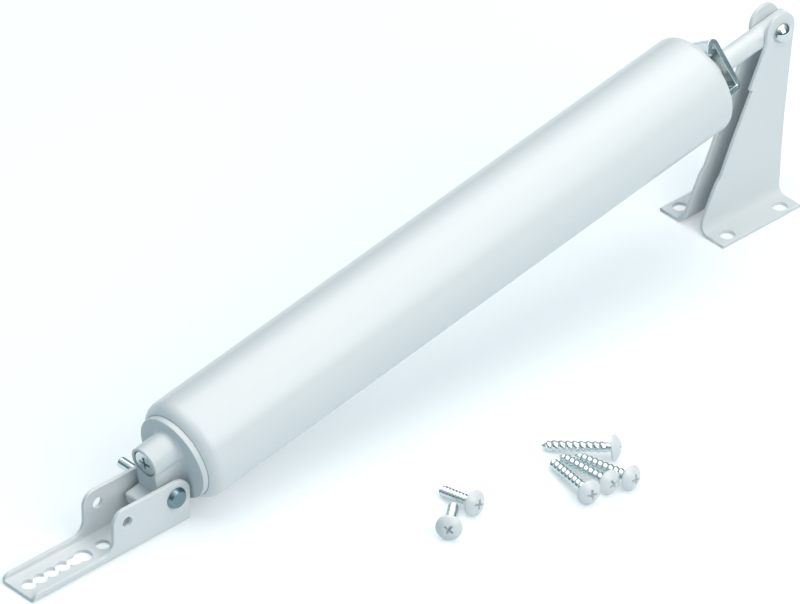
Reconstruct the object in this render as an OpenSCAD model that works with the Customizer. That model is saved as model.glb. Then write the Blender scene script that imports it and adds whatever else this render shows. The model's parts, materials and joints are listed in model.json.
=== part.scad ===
// Pneumatic door closer, in millimetres.
// X runs from the door bracket to the jamb bracket and Z is up. Both brackets stand on Z = 0,
// and the origin is on the door bracket's base, under the door pin.

/* [Layout] */
// Distance from the foot of the door pin to the jamb pin, along the tube's axis
pivot_length = 296.75; // [292:0.25:310]
// Height of the tube's axis over the door pin
pin_offset = 8; // [7.5:0.1:9]
// Height of the door pin over the base
door_pin_height = 12.6; // [12.6:0.1:16]
// Height of the jamb pin over the base
jamb_pin_height = 69.7; // [66:0.1:76]

/* [Tube] */
// Outer radius of the tube
tube_r = 19.05; // [18.6:0.05:22]
// Wall of the tube
tube_wall = 0.9; // [0.7:0.1:1.2]
// Distance from the tube's jamb end to the jamb pin
tube_clearance = 36.45; // [34:0.05:45]
// Radius of the rolled shoulder at the door end
shoulder_r = 6; // [4:0.1:6.4]
// Radius of the rolled lip at the jamb end
lip_r = 4; // [3:0.1:4.6]
// Gap round each piece that seats in the tube
seat_fit = 0.05; // [0.02:0.01:0.1]

/* [End cap] */
// Distance from the door pin to the cap's face
cap_face = 7.15; // [7.1:0.05:8.5]
// Width of the rim that shows in front of the tube
rim_width = 2.2; // [1.5:0.05:3]
// How far the rim lies under the tube's outside
rim_drop = 3.15; // [2.8:0.05:3.4]
// How far the cap reaches from its face to its inner end
cap_depth = 16.85; // [16:0.05:20]
// Thickness of the web behind the face
web_thickness = 6; // [4:0.1:7]
// Radius of the hollow behind the web
hollow_r = 13.2; // [12.9:0.1:14]
// Radius of the round boss about the adjusting screw
boss_r = 6.3; // [5.8:0.05:6.5]
// Half width of the lug under the boss
lug_half_width = 5.15; // [4.5:0.05:6.3]
// Distance from the door pin to the boss's front face
boss_reach = 4.85; // [4:0.05:5.5]
// Height of the adjusting screw over the tube's axis
screw_offset = 6.1; // [5.6:0.1:6.8]
// Distance from the door pin to the toe's front
toe_reach = 11.2; // [9:0.05:11.2]
// Thickness of the toe
toe_thickness = 7; // [5:0.1:7.4]
// Radius of the toe's upper front corner
toe_tip_r = 1; // [0.6:0.1:1.4]
// Radius of the toe's lower front corner
toe_heel_r = 4.2; // [3.2:0.1:4.4]
// Distance of the lug's bottom from the tube's axis
lug_drop = 12.6; // [12.2:0.1:13]
// Fillet between the boss and the rim
boss_fillet = 1; // [0.5:0.1:1.2]

/* [Seals] */
// Depth of the cap's groove
groove_depth = 2.3; // [1.8:0.1:2.4]
// Width of the cap's groove
groove_width = 2.9; // [2.6:0.1:3.2]
// Distance from the cap's inner end to the groove
groove_setback = 4; // [3:0.1:5]
// How far a seal stays clear of its seat
seal_gap = 0.03; // [0.02:0.01:0.1]

/* [Adjusting screw] */
// Radius of the screw's head
valve_head_r = 4.85; // [4.4:0.05:5]
// Gap round the head
valve_head_gap = 0.2; // [0.1:0.05:0.3]
// Length of the head
valve_head_length = 4.4; // [3:0.1:4.8]
// Radius of the screw's shank
valve_shank_r = 2.3; // [2:0.1:2.6]
// Gap round the shank
valve_shank_gap = 0.1; // [0.05:0.01:0.15]
// Distance from the door pin to the needle's seat
valve_seat = 16; // [15:0.1:17]
// Wall round the needle's seat
valve_wall = 2.4; // [1.5:0.1:2.6]
// Radius of the bleed hole
bleed_r = 0.6; // [0.5:0.05:0.7]
// Distance from the door pin to the screw's seal
valve_seal_place = 2.6; // [1.6:0.1:3]
// Depth of the seal's groove
valve_groove_depth = 1.1; // [0.8:0.1:1.2]
// Radius of the vent hole in the boss's side
vent_r = 0.7; // [0.4:0.1:1]
// Distance from the door pin to the vent hole
vent_place = 5.2; // [4.6:0.1:6]

/* [Bumper] */
// Inner radius of the bumper
bumper_inner_r = 9.5; // [7:0.1:10]
// Outer radius of the bumper's pad
bumper_r = 14.6; // [14.2:0.1:15]
// Height of the bumper's pad
bumper_height = 7.8; // [7.4:0.1:10]
// Length of the spigot that holds the bumper in the cap
bumper_spigot = 3; // [2:0.1:4]

/* [Piston] */
// Gap between the bumper and the piston's washer at rest
piston_rest_gap = 0.1; // [0.05:0.01:0.3]
// How far the piston's washer lies under the tube's bore
washer_drop = 2.55; // [2.15:0.05:3.35]
// Thickness of the piston's washer
washer_thickness = 1.2; // [0.8:0.1:2]
// Thickness of the cup's base
cup_thickness = 1.6; // [1:0.1:2]
// Length of the cup's lip
cup_lip = 4.4; // [3:0.1:5]
// Thickness of the cup's lip
cup_lip_thickness = 1.4; // [1:0.1:1.5]
// Thickness of the piston's disc
piston_thickness = 8; // [6:0.1:10]
// Gap between the piston's disc and the tube
piston_gap = 0.25; // [0.1:0.05:0.4]
// Radius of the boss that centres the spring
piston_boss_r = 10.2; // [8:0.1:10.3]
// Length of that boss
piston_boss_length = 5; // [3:0.1:7]
// Width of the nut across its flats
nut_flats = 10; // [9:0.1:12]
// Thickness of the nut
nut_thickness = 4; // [3:0.1:5]
// How far the rod's end stands out of the nut
stud_reach = 1; // [0.5:0.1:1.5]

/* [Rod] */
// Radius of the rod
rod_r = 3.97; // [3.8:0.01:4.3]
// Radius of the rod's end that holds the piston
neck_r = 3; // [2.6:0.1:3.3]
// Gap between the rod and its guide
guide_gap = 0.08; // [0.05:0.01:0.1]
// How far the rod reaches past the jamb pin
rod_overhang = 7; // [5:0.1:7.5]
// Thickness of the rod's flattened end
flat_thickness = 6.4; // [6:0.05:6.5]
// Distance from the jamb pin to where the flats begin
flat_length = 9.9; // [9.8:0.1:11]

/* [Spring] */
// Radius of the spring's wire
wire_r = 1.3; // [1:0.05:1.5]
// Radius from the spring's axis to the middle of its wire
coil_r = 12; // [11.8:0.05:13]
// Number of turns
coil_turns = 21; // [16:1:23]
// Turns close together at each end
closed_turns = 1.5; // [1:0.25:2]
// Space between close turns
closed_space = 0.5; // [0.45:0.05:0.8]
// Gap between the spring and what it rests on
spring_gap = 0.05; // [0.02:0.01:0.2]

/* [Guide] */
// Length of the rod guide
guide_length = 9.6; // [7:0.1:14]
// Thickness of the steel ring behind the rolled lip
ring_thickness = 1.1; // [0.8:0.1:1.6]
// Radius of the guide's neck
guide_neck_r = 6.5; // [5.5:0.1:9]
// Thickness of the spring's seat
seat_thickness = 1.4; // [1:0.1:2]
// Radius of the spring's seat
seat_r = 16; // [15:0.1:17]
// Gap between the rod and the seat
seat_rod_gap = 0.5; // [0.3:0.1:1]

/* [Pins] */
// Radius of both pins
pin_r = 2; // [1.8:0.05:2.1]
// Gap round a pin
pin_gap = 0.06; // [0.03:0.01:0.1]
// Radius of the door pin's head
door_head_r = 4; // [3.4:0.1:5]
// Height of the door pin's head
door_head_height = 1.8; // [1.2:0.1:3]
// Radius of the flat face of that head
door_head_flat_r = 3.1; // [2.4:0.1:3.3]
// How far the door pin stands out of the far ear
door_pin_reach = 11.6; // [5:0.1:14]
// Radius of the jamb pin's head
jamb_head_r = 3.85; // [3.4:0.05:4.2]
// Height of the jamb pin's head
jamb_head_height = 3.4; // [1.5:0.1:3.4]
// Radius of the jamb pin's closed end
rivet_r = 3.2; // [2.6:0.1:4]
// Height of the jamb pin's closed end
rivet_height = 1.4; // [0.8:0.1:2]

/* [Door bracket] */
// Thickness of the sheet
door_sheet = 1.5; // [1.2:0.1:1.5]
// Space between the ears
door_gap = 13.8; // [13.4:0.1:15]
// Distance from the door pin to the bracket's front edge
door_reach = 64.4; // [63.5:0.1:72]
// Outer radius of the bends
door_bend_r = 2; // [1.8:0.1:2.6]
// Radius of the ears round the door pin
ear_r = 6.55; // [5:0.05:6.6]
// Distance from the door pin to the ears' front edge
ear_reach = 28.3; // [27:0.1:30]
// Radius of the ears' front corner
ear_corner_r = 5; // [3:0.1:6]
// Radius of the fillet below the ears' front edge
ear_fillet_r = 5; // [3:0.1:6]
// Height of the low walls
low_wall = 3.4; // [2.8:0.1:4]
// Radius of the low walls' front corner
low_corner_r = 3; // [1.5:0.1:3.2]
// Distance from the door pin to the spare pin hole
spare_reach = 22; // [20:0.1:23]
// Height of the spare pin hole over the base
spare_height = 13.1; // [12:0.1:14]
// Radius of the lobes of the slot
lobe_r = 2.7; // [2.6:0.05:3]
// Distance between the lobes
lobe_pitch = 5.07; // [4.8:0.01:5.3]
// Number of lobes
lobe_count = 5; // [3:1:5]
// Radius of the large hole that ends the slot
large_hole_r = 3.3; // [3:0.1:4]
// Distance from the door pin to the large hole
large_hole_reach = 35.2; // [34.5:0.1:36]
// Distance from the large hole to the first lobe
large_hole_step = 3.9; // [3.5:0.1:4.5]
// Radius of the screw hole between the ears
ear_hole_r = 2.6; // [2.2:0.1:3]
// Distance from the door pin to that hole
ear_hole_reach = 26; // [25:0.1:27]

/* [Jamb bracket] */
// Thickness of the sheet
jamb_sheet = 1.5; // [1.2:0.1:1.8]
// Space between the cheeks
jamb_gap = 6.6; // [6.6:0.1:7.6]
// Length of the feet along X
foot_length = 38.4; // [38:0.1:44]
// How far the feet reach behind the jamb pin
foot_rear = 0.4; // [0.2:0.1:2]
// Distance from the middle to a foot's outer edge
foot_reach = 16.2; // [15.5:0.1:20]
// Outer radius of the bend between cheek and foot
cheek_bend_r = 5; // [3:0.1:5]
// Radius of the cheeks' round top
cheek_r = 6.85; // [5.5:0.05:7]
// How far the middle of that radius lies over the jamb pin
cheek_rise = 1.05; // [0:0.05:1.6]
// How far that middle lies in front of the jamb pin
cheek_advance = 0.25; // [0:0.05:0.6]
// Distance from the jamb pin down to the neck under the round top
neck_drop = 2.5; // [1:0.1:6]
// Height of the small step in the front edge
step_height = 51.3; // [45:0.1:56]
// Distance from the jamb pin to the front edge above the step
step_reach = 14.9; // [14:0.1:16]
// How far the front edge stands back under the step
step_depth = 1.2; // [0.2:0.1:2]
// Height of the upper end of the notch in the front edge
notch_height = 20.9; // [18:0.1:26]
// Distance from the jamb pin to the notch's upper end
notch_reach = 28.3; // [27.5:0.1:29]
// Size of the notch's slanted corner
notch_size = 2.1; // [1:0.1:3]
// Height at which the front edge turns down to the foot
front_knee = 6; // [5.2:0.1:10]
// How far the front edge stands behind the foot's front at that height
front_knee_back = 1.1; // [0.2:0.1:2]
// How far the rear edge lies behind the jamb pin where the foot's bend starts
rear_low_reach = 1.2; // [0.4:0.1:2]
// Height of the knee in the rear edge
rear_knee = 33.5; // [20:0.5:40]
// How far the rear edge lies behind the jamb pin at that knee
rear_knee_reach = 3; // [1:0.1:4]
// Lower end of the web behind the cheeks
web_low = 16; // [12:0.5:20]
// Upper end of that web
web_high = 52; // [44:0.5:56]
// How far the web stands behind the cheeks' rear edges
web_back = 0.6; // [0:0.1:1]
// Radius of the screw holes in the feet
foot_hole_r = 2.75; // [2.2:0.05:3]
// Distance between the holes along X
foot_hole_length = 26.3; // [24:0.1:28]
// Distance from the jamb pin back to the rear holes
foot_hole_reach = 5.7; // [5:0.1:7]
// Distance between the holes along Y
foot_hole_width = 24.2; // [24:0.1:25.5]

/* [Hold-open washer] */
// Distance from the tube's end to the washer
washer_stand_off = 7.7; // [6.5:0.1:10]
// Thickness of the washer's sheet
clip_sheet = 2; // [1.2:0.1:2.2]
// Length of the washer across its legs
clip_length = 20.9; // [17:0.1:21.5]
// How far the washer's middle lies over the rod's axis, towards the folded leg
clip_rise = 0.8; // [0:0.1:1.2]
// Width of the washer
clip_width = 15.4; // [13:0.1:16]
// Outer radius of the washer's bends
clip_bend_r = 2.2; // [2.2:0.1:3]
// Reach of the lower leg towards the tube
clip_leg = 5; // [3:0.1:5.5]
// Angle by which the upper leg is folded past square
clip_fold = 50; // [20:1:55]
// Gap between the upper leg's tip and the rod
clip_tip_gap = 2.1; // [0.5:0.1:3]
// Turn of the washer about the rod
clip_turn = 34; // [0:1:45]
// Gap round the rod
clip_gap = 0.2; // [0.15:0.05:0.3]

/* [Loose screws] */
// Length of the long screws
long_screw = 25.4; // [22:0.1:26]
// Length of the short screws
short_screw = 15.9; // [13:0.1:16.5]
// Radius of the long screws' heads
long_head_r = 4.65; // [4:0.05:4.7]
// Radius of the short screws' heads
short_head_r = 4.7; // [4:0.05:5]
// Height of the heads
screw_head_height = 2.8; // [2:0.1:3]
// Outer radius of the threads
thread_r = 2.05; // [1.7:0.05:2.1]
// Depth of the threads
thread_depth = 0.45; // [0.3:0.05:0.6]
// Pitch of the long screws' threads
long_pitch = 2.4; // [1.6:0.1:2.6]
// Pitch of the short screws' threads
short_pitch = 1.6; // [1.3:0.1:2]
// Length of the long screws' points
long_point = 2.5; // [2:0.1:4]
// Length of the short screws' blunt points
short_point = 0.8; // [0.6:0.1:1.5]
// Long screws: each head's place on X and Y
long_heads = [[137.3, -80.6], [129.3, -97.2], [122.1, -94], [113, -93.5]];
// The direction in which each long screw points
long_turns = [126, 95, 88, 77];
// Short screws: each head's place on X and Y
short_heads = [[79.9, -71.5], [64.2, -75.9]];
// The direction in which each short screw points
short_turns = [92, 41];

/* [Hidden] */
$fn = 64;

// Width, reach and depth of the cross slots
slot_width = 0.9;
valve_slot_reach = 2.3;
screw_slot_reach = 2.1;
slot_depth = 1.5;
// Small edges broken by a chamfer
edge = 0.4;
// How far a cut runs past what it cuts
over = 1;
// Sides and steps of the spring's wire
wire_sides = 6;
wire_steps = 12;
// Gap that keeps the tapered needle off its seat
needle_gap = 0.1;
needle_slope = 0.5;
needle_length = 1.6;

// Tilt of the tube's axis and where the jamb pin comes to lie
tilt = asin((jamb_pin_height - door_pin_height) / norm([pivot_length, pin_offset]))
    - atan(pin_offset / pivot_length);
jamb_pin_x = pivot_length * cos(tilt) - pin_offset * sin(tilt);

// Tube: radii and the middles of its rolled ends
bore_r = tube_r - tube_wall;
seated_r = bore_r - seat_fit;
washer_r = bore_r - washer_drop;
rim_r = tube_r - rim_drop;
shoulder_mid_r = tube_r - shoulder_r;
over_rim = rim_r + seat_fit - shoulder_mid_r;
shoulder_x = cap_face + rim_width + sqrt(shoulder_r * shoulder_r - over_rim * over_rim);
tube_end = pivot_length - tube_clearance;
lip_x = tube_end - lip_r;
lip_mid_r = tube_r - lip_r;

// Places along the tube's axis, from the door pin
cap_end = cap_face + cap_depth;
hollow_start = cap_face + web_thickness;
groove_start = cap_end - groove_setback - groove_width;
bumper_end = cap_end + bumper_height;
washer_start = bumper_end + piston_rest_gap;
cup_start = washer_start + washer_thickness;
piston_start = cup_start + cup_thickness;
spring_start = piston_start + piston_thickness;
rod_shoulder = spring_start + piston_boss_length;
nut_start = washer_start - nut_thickness;
rod_start = nut_start - stud_reach;
rod_end = pivot_length + rod_overhang;
flat_start = pivot_length - flat_length;
ring_start = lip_x - ring_thickness - seat_fit;
guide_start = ring_start - guide_length;
seat_start = guide_start - seat_thickness;
clip_x = tube_end + washer_stand_off;

// Brackets: outer half widths
door_half = door_gap / 2 + door_sheet;
jamb_half = jamb_gap / 2 + jamb_sheet;

// Points of an arc from angle a0 to a1 about a middle
function arc(x, y, r, a0, a1, steps = 12) =
    [for (i = [0 : steps])
        let (a = a0 + (a1 - a0) * i / steps)
        [x + r * cos(a), y + r * sin(a)]];

// Radius of the sphere whose cap has this base and height
function dome_r(base, height) = (base * base + height * height) / (2 * height);

// Puts a piece that is drawn along the tube's axis into place
module on_axis() {
    translate([0, 0, door_pin_height])
        rotate([0, -tilt, 0])
            translate([0, 0, pin_offset])
                children();
}

// Turns an outline of [place on the axis, radius] about the X axis
module turned(points) {
    rotate([0, 90, 0])
        rotate([0, 0, 180])
            rotate_extrude()
                polygon([for (p = points) [p[1], p[0]]]);
}

module along_x(start, end, r) {
    translate([start, 0, 0])
        rotate([0, 90, 0])
            cylinder(h = end - start, r = r);
}

module across_y(x, z, half, r) {
    translate([x, half, z])
        rotate([90, 0, 0])
            cylinder(h = 2 * half, r = r);
}

module ring_x(x, r, section_r) {
    translate([x, 0, 0])
        rotate([0, 90, 0])
            rotate_extrude()
                translate([r, 0])
                    circle(r = section_r, $fn = 24);
}

// Cross slot that is cut into a face at X = 0, towards +X
module cross_slot(reach, depth) {
    for (turn = [0, 90])
        rotate([turn, 0, 0])
            translate([-over, -slot_width / 2, -reach])
                cube([depth + over, slot_width, 2 * reach]);
}

// Door bracket: a channel, cut to the outline of its ears and low walls

module channel_section() {
    inner_r = door_bend_r - door_sheet;
    for (side = [0, 1])
        mirror([side, 0]) {
            translate([door_gap / 2, door_bend_r])
                square([door_sheet, door_pin_height + ear_r - door_bend_r]);
            square([door_half - door_bend_r, door_sheet]);
            translate([door_half - door_bend_r, door_bend_r])
                rotate(-90)
                    intersection() {
                        difference() {
                            circle(r = door_bend_r);
                            circle(r = inner_r);
                        }
                        square(door_bend_r);
                    }
        }
}

module ear_outline() {
    polygon(concat(
        [[ear_r, 0]],
        arc(0, door_pin_height, ear_r, 0, 90),
        arc(ear_corner_r - ear_reach, door_pin_height + ear_r - ear_corner_r, ear_corner_r, 90, 180),
        arc(-ear_reach - ear_fillet_r, low_wall + ear_fillet_r, ear_fillet_r, 0, -90),
        arc(low_corner_r - door_reach, low_wall - low_corner_r, low_corner_r, 90, 180),
        [[-door_reach, 0]]));
}

module door_bracket() {
    color("white")
        difference() {
            intersection() {
                translate([-door_reach, 0, 0])
                    rotate([90, 0, 90])
                        linear_extrude(door_reach + ear_r)
                            channel_section();
                translate([0, door_half + over, 0])
                    rotate([90, 0, 0])
                        linear_extrude(2 * (door_half + over))
                            ear_outline();
            }
            across_y(0, door_pin_height, door_half + over, pin_r + pin_gap);
            across_y(-spare_reach, spare_height, door_half + over, pin_r + pin_gap);
            translate([-ear_hole_reach, 0, -over])
                cylinder(h = door_sheet + 2 * over, r = ear_hole_r);
            translate([-large_hole_reach, 0, -over])
                cylinder(h = door_sheet + 2 * over, r = large_hole_r);
            for (i = [0 : lobe_count - 1])
                translate([-large_hole_reach - large_hole_step - i * lobe_pitch, 0, -over])
                    cylinder(h = door_sheet + 2 * over, r = lobe_r);
        }
}

module door_pin() {
    far_end = -door_half - door_pin_reach;
    head_end = door_half + door_head_height;
    color("silver")
        translate([0, 0, door_pin_height])
            rotate([90, 0, 0])
                rotate_extrude()
                    polygon([[0, far_end], [pin_r - edge, far_end], [pin_r, far_end + edge],
                        [pin_r, door_half], [door_head_r, door_half],
                        [door_head_r, door_half + edge], [door_head_flat_r, head_end],
                        [0, head_end]]);
}

// End cap: the turned body, the boss for the screw and the lug for the door pin

module cap_body() {
    corner_r = shoulder_r - tube_wall - seat_fit;
    groove_r = bore_r - groove_depth;
    turned(concat(
        [[cap_face, 0], [cap_face, rim_r - edge], [cap_face + edge, rim_r]],
        arc(shoulder_x, shoulder_mid_r, corner_r, 180 - asin((rim_r - shoulder_mid_r) / corner_r), 90),
        [[groove_start, seated_r], [groove_start, groove_r],
         [groove_start + groove_width, groove_r], [groove_start + groove_width, seated_r],
         [cap_end, seated_r], [cap_end, hollow_r], [hollow_start, hollow_r], [hollow_start, 0]]));
}

module lug_outline() {
    depth = web_thickness / 2;
    heel = toe_heel_r - toe_reach;
    union() {
        translate([-boss_reach, -lug_drop])
            square([boss_reach + cap_face + depth, lug_drop + screw_offset]);
        polygon(concat(
            [[0, -lug_drop]], [[0, toe_thickness - lug_drop]],
            arc(toe_tip_r - toe_reach, toe_thickness - lug_drop - toe_tip_r, toe_tip_r, 90, 180, 6),
            arc(heel, toe_heel_r - lug_drop, toe_heel_r, 180, 270, 16)));
        difference() {
            translate([cap_face - boss_fillet, -lug_drop - boss_fillet])
                square(boss_fillet + depth / 2);
            translate([cap_face - boss_fillet, -lug_drop - boss_fillet])
                circle(r = boss_fillet);
        }
    }
}

module end_cap() {
    depth = web_thickness / 2;
    color("white")
        on_axis()
            difference() {
                union() {
                    cap_body();
                    translate([0, lug_half_width, 0])
                        rotate([90, 0, 0])
                            linear_extrude(2 * lug_half_width)
                                lug_outline();
                    translate([0, 0, screw_offset]) {
                        along_x(-boss_reach, cap_face + depth, boss_r);
                        along_x(cap_face, valve_seat + valve_wall, valve_shank_r + valve_wall);
                    }
                }
                across_y(0, -pin_offset, lug_half_width + over, pin_r + pin_gap);
                translate([0, 0, screw_offset]) {
                    along_x(-boss_reach - over, valve_head_length + valve_head_gap - boss_reach,
                        valve_head_r + valve_head_gap);
                    along_x(-boss_reach, valve_seat, valve_shank_r + valve_shank_gap);
                    along_x(0, valve_seat + valve_wall + over, bleed_r);
                }
                translate([vent_place, boss_r + over, screw_offset])
                    rotate([90, 0, 0])
                        cylinder(h = boss_r + over, r = vent_r);
            }
}

module end_cap_seal() {
    color("dimgray")
        on_axis()
            ring_x(groove_start + groove_width / 2, bore_r - groove_depth / 2,
                groove_depth / 2 - seal_gap);
}

module adjusting_screw() {
    front = edge / 4 - boss_reach;
    head_end = valve_head_length - boss_reach;
    bore = valve_shank_r + valve_shank_gap;
    groove_r = bore - valve_groove_depth;
    half = valve_groove_depth / 2 + seal_gap;
    tip_r = bleed_r - needle_gap;
    color("lightgray")
        on_axis()
            translate([0, 0, screw_offset])
                difference() {
                    turned([[front, 0], [front, valve_head_r - edge], [front + edge, valve_head_r],
                        [head_end, valve_head_r], [head_end, valve_shank_r],
                        [valve_seal_place - half, valve_shank_r], [valve_seal_place - half, groove_r],
                        [valve_seal_place + half, groove_r], [valve_seal_place + half, valve_shank_r],
                        [valve_seat - 2 * needle_length, valve_shank_r],
                        [valve_seat - needle_length, tip_r + needle_slope * needle_length],
                        [valve_seat, tip_r], [valve_seat + edge, tip_r - needle_slope * edge],
                        [valve_seat + edge, 0]]);
                    translate([front, 0, 0])
                        cross_slot(valve_slot_reach, slot_depth);
                }
}

module adjusting_screw_seal() {
    bore = valve_shank_r + valve_shank_gap;
    color("dimgray")
        on_axis()
            translate([0, 0, screw_offset])
                ring_x(valve_seal_place, bore - valve_groove_depth / 2,
                    valve_groove_depth / 2 - seal_gap);
}

module bumper() {
    spigot_r = hollow_r - seat_fit;
    color("dimgray")
        on_axis()
            turned([[cap_end - bumper_spigot, bumper_inner_r], [cap_end - bumper_spigot, spigot_r],
                [cap_end, spigot_r], [cap_end, bumper_r], [bumper_end - over, bumper_r],
                [bumper_end, bumper_r - over], [bumper_end, bumper_inner_r]]);
}

module cylinder_tube() {
    inner_r = shoulder_r - tube_wall;
    color("white")
        on_axis()
            turned(concat(
                arc(shoulder_x, shoulder_mid_r, shoulder_r, 180 - asin(over_rim / shoulder_r), 90),
                arc(lip_x, lip_mid_r, lip_r, 90, 0),
                arc(lip_x, lip_mid_r, lip_r - tube_wall, 0, 90),
                arc(shoulder_x, shoulder_mid_r, inner_r, 90, 180 - asin(over_rim / inner_r))));
}

// Piston, from the nut to the spring

module piston_nut() {
    color("silver")
        on_axis()
            difference() {
                translate([nut_start, 0, 0])
                    rotate([0, 90, 0])
                        cylinder(h = nut_thickness, r = nut_flats / 2 / cos(30), $fn = 6);
                along_x(nut_start - over, washer_start + over, neck_r + seat_fit);
            }
}

module piston_washer() {
    color("silver")
        on_axis()
            turned([[washer_start, neck_r + seat_fit], [washer_start, washer_r],
                [cup_start, washer_r], [cup_start, neck_r + seat_fit]]);
}

module piston_cup() {
    outer_r = bore_r - seal_gap;
    color("dimgray")
        on_axis()
            turned([[cup_start, neck_r + seat_fit], [cup_start, outer_r - cup_lip_thickness],
                [cup_start - cup_lip, outer_r - cup_lip_thickness / 2], [cup_start - cup_lip, outer_r],
                [cup_start, outer_r], [piston_start, outer_r - cup_lip_thickness / 4],
                [piston_start, neck_r + seat_fit]]);
}

module piston() {
    outer_r = bore_r - piston_gap;
    color("ivory")
        on_axis()
            turned([[piston_start, neck_r + seat_fit], [piston_start, outer_r - edge],
                [piston_start + edge, outer_r], [spring_start - edge, outer_r],
                [spring_start, outer_r - edge], [spring_start, piston_boss_r],
                [rod_shoulder - over, piston_boss_r], [rod_shoulder, piston_boss_r - over],
                [rod_shoulder, neck_r + seat_fit]]);
}

module rod() {
    color("white")
        on_axis()
            difference() {
                turned([[rod_start, 0], [rod_start, neck_r - edge], [rod_start + edge, neck_r],
                    [rod_shoulder, neck_r], [rod_shoulder, rod_r],
                    [rod_end - edge, rod_r], [rod_end, rod_r - edge], [rod_end, 0]]);
                for (side = [0, 1])
                    mirror([0, side, 0])
                        translate([flat_start, flat_thickness / 2, -rod_r - over])
                            cube([rod_overhang + flat_length + over, rod_r, 2 * (rod_r + over)]);
                across_y(pivot_length, 0, rod_r + over, pin_r + pin_gap);
            }
}

// Return spring: one unbroken wire whose end turns lie close together

spring_first = spring_start + spring_gap + wire_r;
spring_last = seat_start - spring_gap - wire_r;
closed_pitch = 2 * wire_r + closed_space;
open_turns = coil_turns - 2 * closed_turns;
open_pitch = (spring_last - spring_first - 2 * closed_turns * closed_pitch) / open_turns;
wire_places = coil_turns * wire_steps;

function wire_x(turn) =
    spring_first
    + min(turn, closed_turns) * closed_pitch
    + max(0, min(turn - closed_turns, open_turns)) * open_pitch
    + max(0, turn - closed_turns - open_turns) * closed_pitch;

function wire_ring(i) =
    let (turn = i / wire_steps, a = 360 * turn)
    [for (k = [0 : wire_sides - 1])
        let (b = 360 * k / wire_sides, r = coil_r + wire_r * cos(b))
        [wire_x(turn) + wire_r * sin(b), r * cos(a), r * sin(a)]];

echo(least_gap_of_spring = min([for (i = [0 : wire_places - wire_steps])
    wire_x(i / wire_steps + 1) - wire_x(i / wire_steps) - 2 * wire_r]));

module return_spring() {
    points = [for (i = [0 : wire_places]) each wire_ring(i)];
    sides = [for (i = [0 : wire_places - 1], k = [0 : wire_sides - 1])
        let (a = i * wire_sides, next = (k + 1) % wire_sides)
        each [[a + k, a + wire_sides + k, a + next],
            [a + wire_sides + k, a + wire_sides + next, a + next]]];
    start = [for (k = [1 : wire_sides - 2]) [0, k, k + 1]];
    last = wire_places * wire_sides;
    end = [for (k = [1 : wire_sides - 2]) [last, last + k + 1, last + k]];
    color("silver")
        on_axis()
            polyhedron(points = points, faces = concat(start, sides, end), convexity = 10);
}

module spring_seat() {
    collar_r = coil_r - wire_r - edge;
    hole_r = rod_r + seat_rod_gap;
    color("silver")
        on_axis()
            turned([[guide_start, hole_r], [seat_start, hole_r],
                [seat_start, collar_r - over], [seat_start - 2 * wire_r, collar_r - over],
                [seat_start - 2 * wire_r, collar_r], [seat_start, collar_r],
                [seat_start, seat_r], [guide_start, seat_r]]);
}

module rod_guide() {
    hole_r = rod_r + guide_gap;
    color("ivory")
        on_axis()
            turned([[guide_start, hole_r], [guide_start, seated_r - edge],
                [guide_start + edge, seated_r], [ring_start, seated_r],
                [ring_start, guide_neck_r], [tube_end - edge, guide_neck_r],
                [tube_end, guide_neck_r - edge], [tube_end, hole_r]]);
}

module guide_ring() {
    color("silver")
        on_axis()
            turned([[ring_start, guide_neck_r + seat_fit], [ring_start, seated_r],
                [ring_start + ring_thickness, seated_r],
                [ring_start + ring_thickness, guide_neck_r + seat_fit]]);
}

// Hold-open washer: a plate square to the rod. The lower leg stands towards the tube,
// and the upper leg is folded down to the rod.

module clip_outline() {
    middle = clip_sheet - clip_bend_r;
    inner_r = clip_bend_r - clip_sheet;
    high = clip_length / 2 + clip_rise - clip_bend_r;
    low = clip_rise - clip_length / 2 + clip_bend_r;
    turn = 90 + clip_fold;
    run = (high + inner_r * sin(turn) - rod_r - clip_tip_gap) / cos(90 - clip_fold);
    tip = [middle - run * sin(turn), high + run * cos(turn)];
    polygon(concat(
        [[-clip_leg, low - inner_r], [-clip_leg, low - clip_bend_r]],
        arc(middle, low, clip_bend_r, -90, 0),
        arc(middle, high, clip_bend_r, 0, turn),
        [tip + clip_bend_r * [cos(turn), sin(turn)], tip + inner_r * [cos(turn), sin(turn)]],
        arc(middle, high, inner_r, turn, 0, 6),
        arc(middle, low, inner_r, 0, -90, 6)));
}

module hold_open_washer() {
    color("silver")
        on_axis()
            translate([clip_x, 0, 0])
                rotate([-clip_turn, 0, 0])
                    difference() {
                        translate([0, clip_width / 2, 0])
                            rotate([90, 0, 0])
                                linear_extrude(clip_width)
                                    clip_outline();
                        along_x(-over, clip_sheet + over, rod_r + clip_gap);
                    }
}

// Jamb bracket: two cheeks on bent feet, joined by a web behind them

rear_x = jamb_pin_x + foot_rear;
front_x = rear_x - foot_length;
cheek_top = jamb_pin_height + cheek_rise;
cheek_mid_x = jamb_pin_x - cheek_advance;
rear_edge = [[rear_x, 0], [jamb_pin_x + rear_low_reach, cheek_bend_r],
    [jamb_pin_x + rear_knee_reach, rear_knee], [cheek_mid_x + cheek_r, cheek_top]];

function rear_at(z) = lookup(z, [for (p = rear_edge) [p[1], p[0]]]);

module cheek_outline() {
    polygon(concat(
        rear_edge,
        arc(cheek_mid_x, cheek_top, cheek_r, 0, 180, 24),
        [[cheek_mid_x - cheek_r, jamb_pin_height - neck_drop],
         [jamb_pin_x - step_reach, step_height],
         [jamb_pin_x - step_reach + step_depth, step_height],
         [jamb_pin_x - notch_reach, notch_height],
         [jamb_pin_x - notch_reach - notch_size, notch_height - notch_size],
         [front_x + front_knee_back, front_knee], [front_x, front_knee / 2], [front_x, 0]]));
}

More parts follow.
